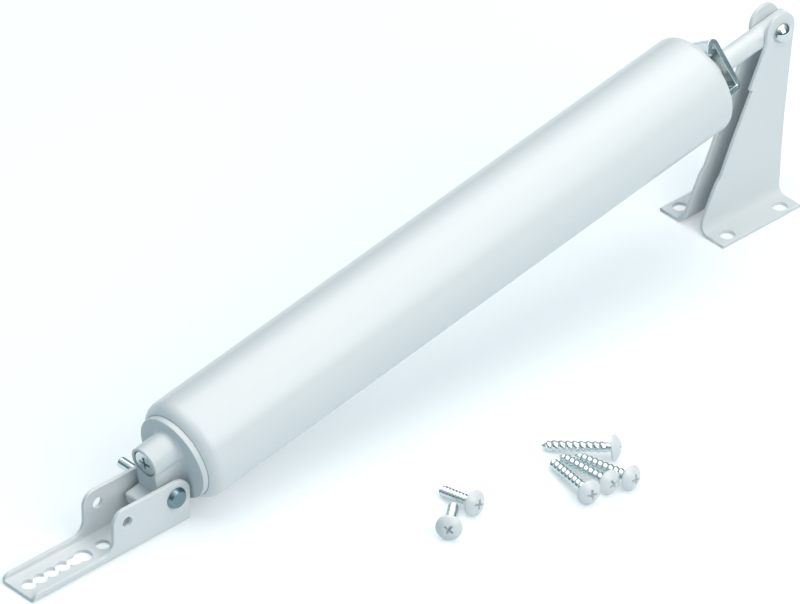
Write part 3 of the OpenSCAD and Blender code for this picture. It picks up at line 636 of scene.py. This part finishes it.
def makeGuide():
    seated = tube["r"] - tube["wall"] - tube["fit"]
    ringStart = tube["end"] - tube["lipR"] - guide["ring"] - tube["fit"]
    start = ringStart - guide["length"]
    hole = rod["r"] + guide["gap"]
    profile = rounded([(start, hole, 0.3), (start, seated, 0.4), (ringStart, seated, 0.2),
                       (ringStart, guide["neckR"], 0.2), (tube["end"], guide["neckR"], 0.5),
                       (tube["end"], hole, 0.4)], closed=True)
    bush = addMesh("rodGuide", turned(profile, 96, closed=True), onAxis)
    settle(bush, nylon, "closer", "nylon", "rod_guide")
    neck = guide["neckR"] + tube["fit"]
    profile = rounded([(ringStart, neck, 0.15), (ringStart, seated, 0.2),
                       (ringStart + guide["ring"], seated, 0.2), (ringStart + guide["ring"], neck, 0.25)],
                      closed=True)
    ring = addMesh("guideRing", turned(profile, 96, closed=True), onAxis)
    settle(ring, brightZinc, "closer", "bright_zinc", "guide_ring")


def makeRod():
    p = rod
    jambU = (layout["jambPin"] - onAxis.to_translation()).dot(layout["tubeAxis"])
    flatStart = jambU - p["flatLength"]
    end = jambU + p["overhang"]
    profile = rounded([(p["start"], 0, 0), (p["start"], p["neckR"], p["neckEdge"]),
                       (p["shoulder"], p["neckR"], p["rootEdge"]),
                       (p["shoulder"], p["r"], p["shoulderEdge"]), (flatStart - p["blend"], p["r"], 0)])
    profile += [(flatStart - p["blend"] + p["ring"] * k, p["r"]) for k in range(1, 13)]
    profile += rounded([(flatStart + 1, p["r"], 0), (end, p["r"], p["endEdge"]), (end, 0, 0)])[1:]
    mesh = turned(profile, 96)
    half = p["flatThickness"] / 2
    for v in mesh.verts:
        beyond = (v.co.x - flatStart + p["blend"]) / p["blend"]
        limit = p["r"] - (p["r"] - half) * min(1.0, max(0.0, beyond)) ** p["blendPower"]
        v.co.y = max(-limit, min(limit, v.co.y))
    piece = addMesh("rod", mesh, onAxis)
    settle(piece, whitePaint, "piston_rod", "white_paint", "rod")


makeTube()
makeGuide()
makeRod()
print("tube and rod made")


# Hold-open washer: a strip with a hole; the lower leg stands square, the upper one is folded to the rod

holdOpen = {"x": 268.0, "sheet": 2.0, "length": 20.9, "rise": 0.8, "width": 15.4, "bendR": 2.2,
            "leg": 5.0, "fold": 50.0, "tipGap": 2.1, "turn": 34.0, "edge": 0.15, "cornerR": 0.5, "gap": 0.2}


def makeHoldOpen():
    p = holdOpen
    neutral = p["bendR"] - p["sheet"] / 2
    innerR = p["bendR"] - p["sheet"]
    turns = {1: math.radians(90 + p["fold"]), -1: math.radians(90)}
    flats = {side: p["length"] / 2 - p["bendR"] + side * p["rise"] for side in (1, -1)}
    run = (flats[1] + innerR * math.sin(turns[1]) - rod["r"] - p["tipGap"]) / -math.cos(turns[1])
    top = flats[1] + neutral * turns[1] + run
    low = flats[-1] + neutral * turns[-1] + p["leg"] + p["sheet"] - p["bendR"]
    w = p["width"] / 2
    c = p["cornerR"]
    outer = rounded([(-w, -low, c), (w, -low, c), (w, top, c), (-w, top, c)], closed=True)
    hole = circle(0, 0, rod["r"] + p["gap"], 48)[::-1]
    mesh = plate(outer, [hole], p["sheet"], p["edge"])
    for side, turn in turns.items():
        cutAt(mesh, 1, [side * (flats[side] + neutral * turn * k / 8) for k in range(9)])

    def fold(y, s, depth):
        side = -1 if s < 0 else 1
        flat = flats[side]
        a = min(turns[side], max(0.0, (abs(s) - flat) / neutral))
        left = abs(s) - flat - neutral * a if a > 0 else 0.0
        r = p["bendR"] - depth
        x = p["sheet"] - p["bendR"] + r * math.cos(a) - left * math.sin(a)
        z = min(abs(s), flat) + r * math.sin(a) + left * math.cos(a)
        return x, y, side * z

    place = onAxis @ Matrix.Translation((p["x"], 0, 0)) @ Matrix.Rotation(math.radians(-p["turn"]), 4, "X")
    piece = addMesh("holdOpenWasher", folded(mesh, fold), place, sharp=40)
    settle(piece, brightZinc, "clip", "bright_zinc", "hold_open_washer")


makeHoldOpen()


# Jamb bracket: one sheet, unrolled about the middle of its rear web as (p, s), s upwards

jambBracket = {
    "sheet": 1.5, "gap": 6.6, "footLength": 38.4, "footRear": 0.4, "footReach": 16.2, "bendR": 5.0,
    "topR": 6.85, "topRise": 1.05, "topAdvance": 0.25, "neckDrop": 2.5,
    "step": (14.9, 51.3), "stepDepth": 1.2, "stepLead": (0.25, 0.3), "stepFall": (0.2, 0.05, 0.4),
    "notch": (28.3, 20.9, 2.1), "frontKnee": (1.1, 6.0), "rearLow": (1.2, 5.0), "rearKnee": (3.0, 33.5),
    "rearMiddle": 9.0, "heel": (0.3, 1.0),
    "web": (16.0, 52.0), "webBack": 0.6, "webBendR": 1.6, "webMargin": 0.6, "relief": 0.12,
    "reliefBack": 0.4,
    "edge": 0.28, "holeR": 2.75, "holeBack": 5.7, "holeLength": 26.3, "holeWidth": 24.2,
}


def makeJambBracket():
    p = jambBracket
    pinX, pinZ = layout["jambPin"].x, layout["jambPin"].z
    sheet, bendR, webR = p["sheet"], p["bendR"], p["webBendR"]
    gap = p["gap"] / 2
    outerY = gap + sheet
    footNeutral = bendR - sheet / 2
    footBend = footNeutral * math.pi / 2
    webNeutral = webR - sheet / 2
    webBend = webNeutral * math.pi / 2
    webFlat = outerY - webR
    span = webFlat + webBend
    topX, topZ = pinX - p["topAdvance"], pinZ + p["topRise"]
    rear = [(pinX + p["footRear"], 0.0), (pinX + p["rearLow"][0], p["rearLow"][1]),
            (pinX + p["rearKnee"][0], p["rearKnee"][1]), (topX + p["topR"], topZ)]

    def rearAt(z):
        z = max(0.0, z)
        i = max(k for k in range(3) if k == 0 or z >= rear[k][1])
        (x0, z0), (x1, z1) = rear[i:i + 2]
        return x0 + (x1 - x0) * (z - z0) / (z1 - z0)

    # Place along the unrolled sheet of a point on the cheek
    def across(x, z):
        return span + rearAt(z) + p["webBack"] - webR - x

    frontX = rear[0][0] - p["footLength"]
    footEnd = bendR - footBend - (p["footReach"] - gap - bendR)
    stepReach, stepZ = p["step"]
    notchX, notchZ, notchSize = p["notch"]
    kneeBack, kneeZ = p["frontKnee"]
    low, high = p["web"]
    rearPoints = [(rearAt(0), footEnd), (rearAt(0), 0.0)]
    rearPoints += [(rearAt(z), z) for z in (p["rearLow"][1], p["rearMiddle"], low - p["relief"])]
    upper = [(rearAt(high + p["relief"]), high + p["relief"])]
    upper += arc(topX, topZ, p["topR"], 0, 180, 30)
    stepX = pinX - stepReach
    leadX, leadZ = p["stepLead"]
    fallX, fallZ, fallEnd = p["stepFall"]
    heelX, heelZ = p["heel"]
    upper += [(topX - p["topR"], pinZ - p["neckDrop"]), (stepX, stepZ + leadZ), (stepX + leadX, stepZ),
              (stepX + p["stepDepth"] - fallX, stepZ - fallZ), (stepX + p["stepDepth"], stepZ - fallEnd),
              (pinX - notchX, notchZ), (pinX - notchX - notchSize, notchZ - notchSize),
              (frontX + kneeBack, kneeZ), (frontX + heelX, kneeZ / 2), (frontX, heelZ), (frontX, 0.0),
              (frontX, footEnd)]
    relief = span + p["webBack"] - p["reliefBack"]
    side = [(across(x, z), z) for x, z in rearPoints]
    side += [(relief, low - p["relief"]), (relief, low), (0.0, low)]
    top = [(0.0, high), (relief, high), (relief, high + p["relief"])]
    top += [(across(x, z), z) for x, z in upper]
    # The +Y cheek from the web's upper middle round to its lower middle, then its mirror image
    loop = top + side[:-1]
    loop = loop[1:]
    outer = loop + [(-x, z) for x, z in reversed(loop)]
    area = sum(a[0] * b[1] - b[0] * a[1] for a, b in zip(outer, outer[1:] + outer[:1]))
    if area < 0:
        outer.reverse()
    holes = []
    holeS = bendR - footBend - (p["holeWidth"] / 2 - gap - bendR)
    for x in (pinX - p["holeBack"], pinX - p["holeBack"] - p["holeLength"]):
        for sign in (-1, 1):
            holes.append(circle(sign * across(x, 0), holeS, p["holeR"])[::-1])
    for sign in (-1, 1):
        middle = sign * across(pinX, pinZ)
        holes.append(circle(middle, pinZ, layout["pinR"] + layout["pinGap"])[::-1])
    mesh = plate(outer, holes, sheet, p["edge"])
    cutAt(mesh, 1, [bendR - footBend * k / 8 for k in range(9)] + [rear[2][1]])
    bends = [webFlat + webBend * k / 6 for k in range(7)]
    cutAt(mesh, 0, bends + [-b for b in bends])

    def fold(a, s, w):
        sign = -1 if a < 0 else 1
        a = abs(a)
        z = max(s, 0.0)
        x = span + rearAt(z) + p["webBack"] - webR - a
        y, height = gap + w, s
        if a < span and low - p["webMargin"] < s < high + p["webMargin"]:
            r = webR - sheet + w
            base = rearAt(z) + p["webBack"] - webR
            if a <= webFlat:
                return base + r, sign * a, s
            turn = (span - a) / webNeutral
            return base + r * math.sin(turn), sign * (webFlat + r * math.cos(turn)), s
        if s < bendR - footBend:
            return x, sign * (gap + bendR + bendR - footBend - s), w
        if s < bendR:
            turn = (bendR - s) / footNeutral
            y = gap + bendR - (bendR - w) * math.cos(turn)
            height = bendR - (bendR - w) * math.sin(turn)
        return x, sign * y, height

    piece = addMesh("jambBracket", folded(mesh, fold))
    settle(piece, whitePaint, "jamb", "white_paint", "jamb_bracket")


makeJambBracket()
makePins()
print("jamb end made")


# Loose screws: a helical thread under a painted head, each lying on its head's rim

looseScrews = {
    "long": {"length": 25.4, "headR": 4.65, "pitch": 2.4, "point": 2.5, "node": "jamb_screws",
             "body": "long_screws", "tipR": 0.15,
             "places": [(137.3, -80.6, 126), (129.3, -97.2, 95), (122.1, -94, 88), (113, -93.5, 77)],
             "turns": [40, 10, -18, 5]},
    "short": {"length": 15.9, "headR": 4.7, "pitch": 1.6, "point": 0.8, "node": "door_screws",
              "body": "short_screws", "tipR": 1.2,
              "places": [(79.9, -71.5, 92), (64.2, -75.9, 41)],
              "turns": [20, 35]},
}
thread = {"r": 2.05, "depth": 0.5, "headHeight": 2.8, "slotReach": 2.2, "slotWidth": 1.0,
          "slotDepth": 1.8, "lip": 0.5, "sunk": 0.3, "plain": 1.2, "crestHalf": 0.45,
          "crestPower": 0.6, "pointPower": 0.8}


def threadMesh(p, ringsPerTurn=14, segments=36):
    mesh = bmesh.new()
    rings = []
    start = -thread["sunk"]
    count = int((p["length"] - start) / p["pitch"] * ringsPerTurn)
    for i in range(count + 1):
        x = start + (p["length"] - start) * i / count
        ring = []
        for k in range(segments):
            a = 2 * math.pi * k / segments
            phase = (x / p["pitch"] - k / segments) % 1.0
            crest = max(0.0, 1 - abs(phase - 0.5) / thread["crestHalf"]) ** thread["crestPower"]
            run = min(1.0, max(0.0, (x - thread["plain"]) / p["pitch"]))
            r = thread["r"] - thread["depth"] * (1 - crest * run)
            left = p["length"] - x
            if left < p["point"]:
                tip = p["tipR"] / thread["r"]
                r *= tip + (1 - tip) * (left / p["point"]) ** thread["pointPower"]
            ring.append(mesh.verts.new((x, r * math.cos(a), r * math.sin(a))))
        rings.append(ring)
    joinRings(mesh, rings)
    mesh.faces.new(rings[0])
    mesh.faces.new(rings[-1])
    bmesh.ops.recalc_face_normals(mesh, faces=mesh.faces)
    return mesh


def makeLooseScrews():
    for kind, p in looseScrews.items():
        lean = math.atan2(p["headR"] - thread["r"], p["length"] - p["point"])
        profile = domeProfile(p["headR"], thread["headHeight"], thread["lip"], 16) + [(0, 0)]
        for i, (x, y, heading) in enumerate(p["places"]):
            place = (
                Matrix.Translation((x, y, p["headR"] * math.cos(lean)))
                @ Matrix.Rotation(math.radians(heading), 4, "Z")
                @ Matrix.Rotation(lean, 4, "Y")
                @ Matrix.Rotation(math.radians(p["turns"][i]), 4, "X")
            )
            head = addMesh(f"{kind}ScrewHead{i + 1}", turned(profile, 48), place)
            top = place @ Matrix.Translation((-thread["headHeight"], 0, 0))
            cutter = recessCutter("recess", thread["slotReach"], thread["slotWidth"],
                                  thread["slotDepth"], top)
            carved(head, cutter, 40)
            settle(head, whitePaint, p["body"], "white_paint", p["node"])
            shank = addMesh(f"{kind}ScrewShank{i + 1}", threadMesh(p), place)
            settle(shank, brightZinc, p["body"], "bright_zinc")


makeLooseScrews()
print("loose screws made")


# Hidden pieces keep their solids and get their finish

hiddenFinish = {
    "end_cap_seal": rubber, "adjusting_screw_seal": rubber, "bumper": rubber, "piston_cup": rubber,
    "piston": nylon, "piston_washer": brightZinc, "piston_nut": brightZinc,
    "return_spring": greySteel, "spring_seat": brightZinc,
}
for node, finish in hiddenFinish.items():
    solid = frame["nodes"][node]
    solid.data.materials.clear()
    solid.data.materials.append(finish)


# Floor, light and camera

view = {
    "azimuth": -42.82, "elevation": 35.19, "roll": 0.06, "target": Vector((111.63, 0, 36.395)),
    "distance": 3301.2, "focalPixels": 9538.0, "width": 800, "sensor": 36, "clip": (0.1, 20),
}
# The floor's glow grows from near to far, in metres from the middle of the object
stage = {
    "size": 6000, "place": (100, 0, -0.02), "colour": (0.74, 0.79, 0.81, 1), "roughness": 0.9,
    "specular": 0.1, "near": 0.35, "far": 1.3, "glowNear": 0.34, "glowFar": 1.0,
}
# Colours of the sky by height, from the horizon to the zenith, and of the fill light
sky = {
    "ramp": [(0.0, (0.05, 0.09, 0.11, 1)), (0.4, (0.16, 0.25, 0.28, 1)),
             (0.62, (0.5, 0.62, 0.64, 1)), (0.85, (1, 1, 1, 1))],
    "fill": (0.08, 0.19, 0.255, 1),
}
lamps = {
    "keyLight": {"place": (0.25, 0.1, 1.2), "aim": (0.12, 0, 0), "size": (1.4, 1.4), "power": 12.4,
                 "colour": (1, 0.935, 0.885)},
    "frontLight": {"place": (0.2, -1.0, 0.8), "aim": (0.12, 0, 0.02), "size": (0.9, 0.9), "power": 7.8,
                   "colour": (1, 0.94, 0.895)},
}


# Adds a value that is 1 for the named kinds of ray, and else 0
def seenBy(nodes, links, *rays):
    path = nodes.new("ShaderNodeLightPath")
    total = path.outputs[rays[0]]
    for ray in rays[1:]:
        more = nodes.new("ShaderNodeMath")
        more.operation = "MAXIMUM"
        links.new(total, more.inputs[0])
        links.new(path.outputs[ray], more.inputs[1])
        total = more.outputs[0]
    return total


# White floor; it glows a little where the lamps reach it and more beyond them
def makeStage():
    mesh = bmesh.new()
    bmesh.ops.create_grid(mesh, x_segments=1, y_segments=1, size=stage["size"])
    floor = addMesh("floor", mesh, Matrix.Translation(stage["place"]))
    material = bpy.data.materials.new("floorWhite")
    material.use_nodes = True
    nodes, links = material.node_tree.nodes, material.node_tree.links
    shader = nodes["Principled BSDF"]
    shader.inputs["Base Color"].default_value = stage["colour"]
    shader.inputs["Roughness"].default_value = stage["roughness"]
    shader.inputs["Specular IOR Level"].default_value = stage["specular"]
    shader.inputs["Emission Color"].default_value = (1, 1, 1, 1)
    place = nodes.new("ShaderNodeTexCoord")
    reach = nodes.new("ShaderNodeVectorMath")
    reach.operation = "LENGTH"
    spread = nodes.new("ShaderNodeMapRange")
    spread.inputs["From Min"].default_value = stage["near"]
    spread.inputs["From Max"].default_value = stage["far"]
    spread.inputs["To Min"].default_value = stage["glowNear"]
    spread.inputs["To Max"].default_value = stage["glowFar"]
    glow = nodes.new("ShaderNodeMath")
    glow.operation = "MULTIPLY"
    links.new(place.outputs["Object"], reach.inputs[0])
    links.new(reach.outputs["Value"], spread.inputs["Value"])
    links.new(spread.outputs["Result"], glow.inputs[1])
    seen = seenBy(nodes, links, "Is Camera Ray", "Is Glossy Ray", "Is Transmission Ray")
    links.new(seen, glow.inputs[0])
    links.new(glow.outputs[0], shader.inputs["Emission Strength"])
    floor.data.materials.append(material)


# Fill light from all round and a white backdrop; mirror rays see a bright sky over a dim horizon
def makeWorld():
    world = bpy.data.worlds.new("studio")
    world.use_nodes = True
    nodes, links = world.node_tree.nodes, world.node_tree.links
    background = nodes["Background"]
    place = nodes.new("ShaderNodeTexCoord")
    apart = nodes.new("ShaderNodeSeparateXYZ")
    ramp = nodes.new("ShaderNodeValToRGB")
    ramp.color_ramp.elements[0].color = sky["ramp"][0][1]
    ramp.color_ramp.elements[1].position, ramp.color_ramp.elements[1].color = sky["ramp"][-1]
    for height, colour in sky["ramp"][1:-1]:
        ramp.color_ramp.elements.new(height).color = colour
    links.new(place.outputs["Generated"], apart.inputs[0])
    links.new(apart.outputs["Z"], ramp.inputs["Fac"])
    mirrored = nodes.new("ShaderNodeMix")
    mirrored.data_type = "RGBA"
    mirrored.inputs["A"].default_value = sky["fill"]
    links.new(seenBy(nodes, links, "Is Glossy Ray", "Is Transmission Ray"), mirrored.inputs["Factor"])
    links.new(ramp.outputs["Color"], mirrored.inputs["B"])
    shown = nodes.new("ShaderNodeMix")
    shown.data_type = "RGBA"
    shown.inputs["B"].default_value = (1, 1, 1, 1)
    links.new(seenBy(nodes, links, "Is Camera Ray"), shown.inputs["Factor"])
    links.new(mirrored.outputs["Result"], shown.inputs["A"])
    links.new(shown.outputs["Result"], background.inputs["Color"])
    bpy.context.scene.world = world


def makeLight(name, place, aim, size, power, colour):
    light = bpy.data.lights.new(name, "AREA")
    light.shape = "RECTANGLE"
    light.size, light.size_y = size
    light.energy = power
    light.color = colour
    lamp = bpy.data.objects.new(name, light)
    bpy.context.scene.collection.objects.link(lamp)
    lamp.location = place
    lamp.rotation_euler = (Vector(aim) - Vector(place)).to_track_quat("-Z", "Y").to_euler()


def makeCamera():
    a, e = math.radians(view["azimuth"]), math.radians(view["elevation"])
    back = Vector((math.sin(a) * math.cos(e), -math.cos(a) * math.cos(e), math.sin(e)))
    right = Vector((math.cos(a), math.sin(a), 0))
    right = Matrix.Rotation(math.radians(view["roll"]), 3, back) @ right
    up = back.cross(right)
    data = bpy.data.cameras.new("camera")
    data.sensor_width = view["sensor"]
    data.lens = view["focalPixels"] * data.sensor_width / view["width"]
    data.clip_start, data.clip_end = view["clip"]
    camera = bpy.data.objects.new("camera", data)
    bpy.context.scene.collection.objects.link(camera)
    turn = Matrix((right, up, back)).transposed().to_4x4()
    camera.matrix_world = Matrix.Translation((view["target"] + back * view["distance"]) * mm) @ turn
    bpy.context.scene.camera = camera


makeStage()
makeWorld()
for name, lamp in lamps.items():
    makeLight(name, **lamp)
bpy.context.scene.view_settings.view_transform = "Standard"
makeCamera()
print("stage made")
